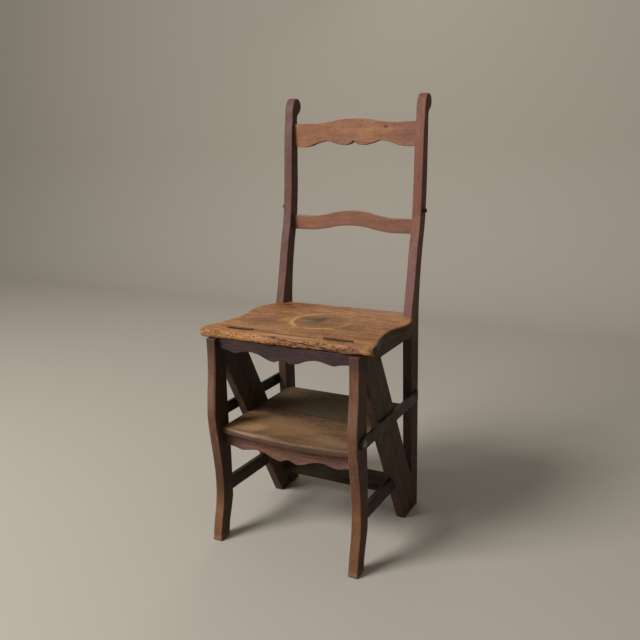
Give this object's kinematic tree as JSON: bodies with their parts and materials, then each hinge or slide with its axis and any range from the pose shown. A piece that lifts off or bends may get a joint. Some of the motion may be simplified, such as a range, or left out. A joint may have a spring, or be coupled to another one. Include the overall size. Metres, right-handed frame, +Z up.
{
  "type": "library step chair",
  "caption": "Wooden library chair that turns into steps: seat and back flip over on hinges, and iron hook bars at the sides lock either position.",
  "frame": {"origin": "on the floor under the middle of the bounding box, in the chair position", "axes": "+Z up; -Y is the way the sitter faces; +X is the sitter's left, and pieces named right lie on +X, as seen from the front"},
  "size_m": [0.38, 0.3857, 0.91],
  "materials": {
    "frame_wood": "old waxed reddish-brown wood, darker in the recesses",
    "seat_wood": "worn golden-tan wood, waxed, with a ring mark and worm holes",
    "tread_wood": "worn brown wood, dull wax",
    "dowel_wood": "plain wood",
    "hinge_iron": "dark old iron, rubbed on the knuckles",
    "bar_iron": "blackened hand-forged iron, satin",
    "screw_steel": "dull grey steel"
  },
  "bodies": {
    "front_frame": {"front_leg_left": "frame_wood", "front_leg_right": "frame_wood", "front_string_left": "frame_wood", "front_string_right": "frame_wood", "seat_front_strip": "seat_wood", "front_apron": "frame_wood", "lower_tread": "tread_wood", "tread_apron": "frame_wood", "low_side_rail_left": "frame_wood", "low_side_rail_right": "frame_wood", "hinge_leaf_front_left": "hinge_iron", "hinge_leaf_front_right": "hinge_iron", "hinge_pin_left": "hinge_iron", "hinge_pin_right": "hinge_iron", "front_leaf_screws": "hinge_iron", "strip_dowels": "dowel_wood", "pivot_screws": "screw_steel", "pivot_washers": "screw_steel"},
    "back_frame": {"rear_post_left": "frame_wood", "rear_post_right": "frame_wood", "seat_panel": "seat_wood", "back_string_left": "frame_wood", "back_string_right": "frame_wood", "seat_rail_left": "frame_wood", "seat_rail_right": "frame_wood", "rear_seat_rail": "frame_wood", "upper_tread": "tread_wood", "top_tread": "tread_wood", "crest_rail": "frame_wood", "back_rail": "frame_wood", "hinge_leaf_rear_left": "hinge_iron", "hinge_leaf_rear_right": "hinge_iron", "rear_leaf_screws": "hinge_iron", "panel_dowels": "dowel_wood", "leg_studs": "bar_iron", "post_studs": "bar_iron"},
    "hook_bar_left": {"hook_bar_left": "bar_iron"},
    "hook_bar_right": {"hook_bar_right": "bar_iron"}
  },
  "joints": [
    {"name": "seat_flip", "type": "hinge", "parent": "front_frame", "child": "back_frame", "pos_m": [0, -0.1465, 0.455], "axis": [1, 0, 0], "range_deg": [0, 180]},
    {"name": "hook_bar_left_swing", "type": "hinge", "parent": "front_frame", "child": "hook_bar_left", "pos_m": [-0.16925, -0.169, 0.269], "axis": [1, 0, 0], "range_deg": [-175.63, 0]},
    {"name": "hook_bar_right_swing", "type": "hinge", "parent": "front_frame", "child": "hook_bar_right", "pos_m": [0.16925, -0.169, 0.269], "axis": [1, 0, 0], "range_deg": [-175.63, 0]}
  ]
}
